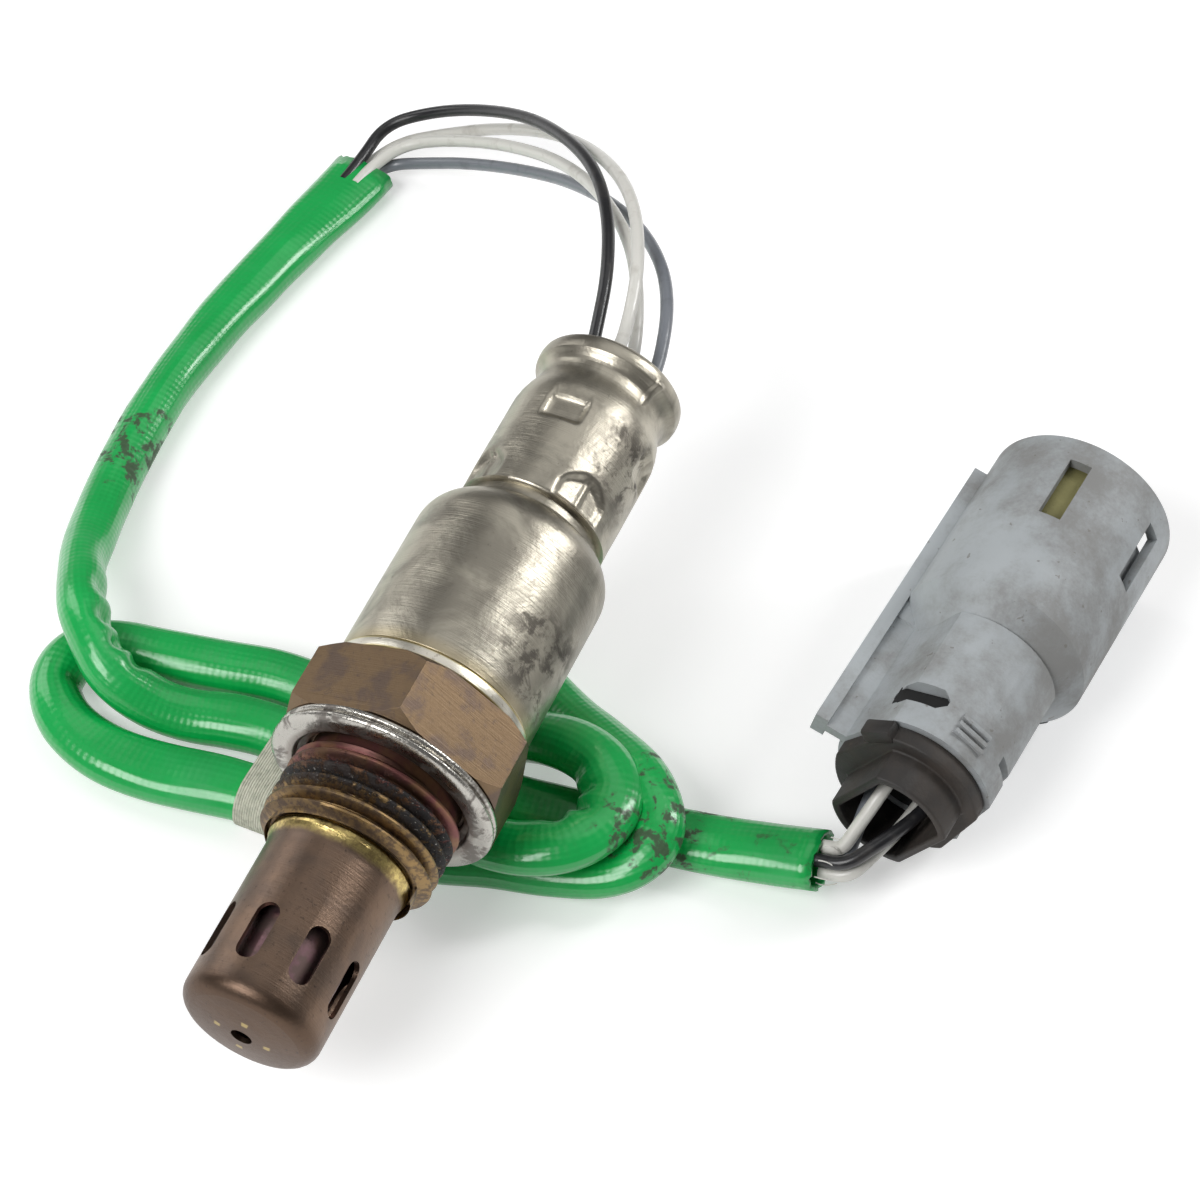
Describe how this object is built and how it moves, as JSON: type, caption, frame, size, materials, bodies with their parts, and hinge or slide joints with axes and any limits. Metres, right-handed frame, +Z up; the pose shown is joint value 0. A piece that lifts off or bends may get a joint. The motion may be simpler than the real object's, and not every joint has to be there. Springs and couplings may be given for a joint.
{
  "type": "oxygen sensor",
  "caption": "Heated exhaust oxygen sensor lying on its coiled sleeved lead, with its round plug-in connector beside it.",
  "frame": {"origin": "centre of the gasket's sealing face, on the sensor's axis", "axes": "+Y from the sensing tip to the wires, level; +Z up; the sensor lies 5.8 degrees nose-down"},
  "size_m": [0.1117, 0.127, 0.0311],
  "materials": {
    "shell_steel": "heat-stained plated steel",
    "gasket_steel": "bright crush ring with stains",
    "shield_steel": "heat-tinted drawn steel",
    "cover_steel": "satin stainless",
    "ceramic": "white ceramic",
    "talc": "pressed powder",
    "terminal_metal": "plated strip",
    "black_rubber": "matt rubber",
    "sleeve_green": "glossy coated braid",
    "wire_black": "insulation",
    "wire_white": "insulation",
    "wire_grey": "insulation",
    "tape_cream": "cloth tape",
    "housing_grey": "moulded",
    "cap_black": "moulded",
    "lock_olive": "moulded"
  },
  "bodies": {
    "root": {"metal_shell": "shell_steel", "gasket_ring": "gasket_steel", "outer_shield": "shield_steel", "inner_shield": "shield_steel", "sensing_element": "ceramic", "heater_rod": "ceramic", "packing_washer": "shell_steel", "talc_seal": "talc", "ceramic_sleeve": "ceramic", "crimp_ring": "shell_steel", "lower_cover": "cover_steel", "upper_cover": "cover_steel", "terminal_holder": "ceramic", "grommet": "black_rubber", "wire_black": "wire_black", "wire_white_a": "wire_white", "wire_white_b": "wire_white", "wire_grey": "wire_grey", "tail_black": "wire_black", "tail_white_a": "wire_white", "tail_white_b": "wire_white", "tail_grey": "wire_grey", "protective_sleeve": "sleeve_green", "hank_tape": "tape_cream", "connector_housing": "housing_grey", "rear_cap": "cap_black", "wire_seal": "black_rubber", "terminal_lock": "lock_olive", "terminal_1": "terminal_metal", "connector_contact_1": "terminal_metal", "terminal_2": "terminal_metal", "connector_contact_2": "terminal_metal", "terminal_3": "terminal_metal", "connector_contact_3": "terminal_metal", "terminal_4": "terminal_metal", "connector_contact_4": "terminal_metal"}
  },
  "joints": []
}
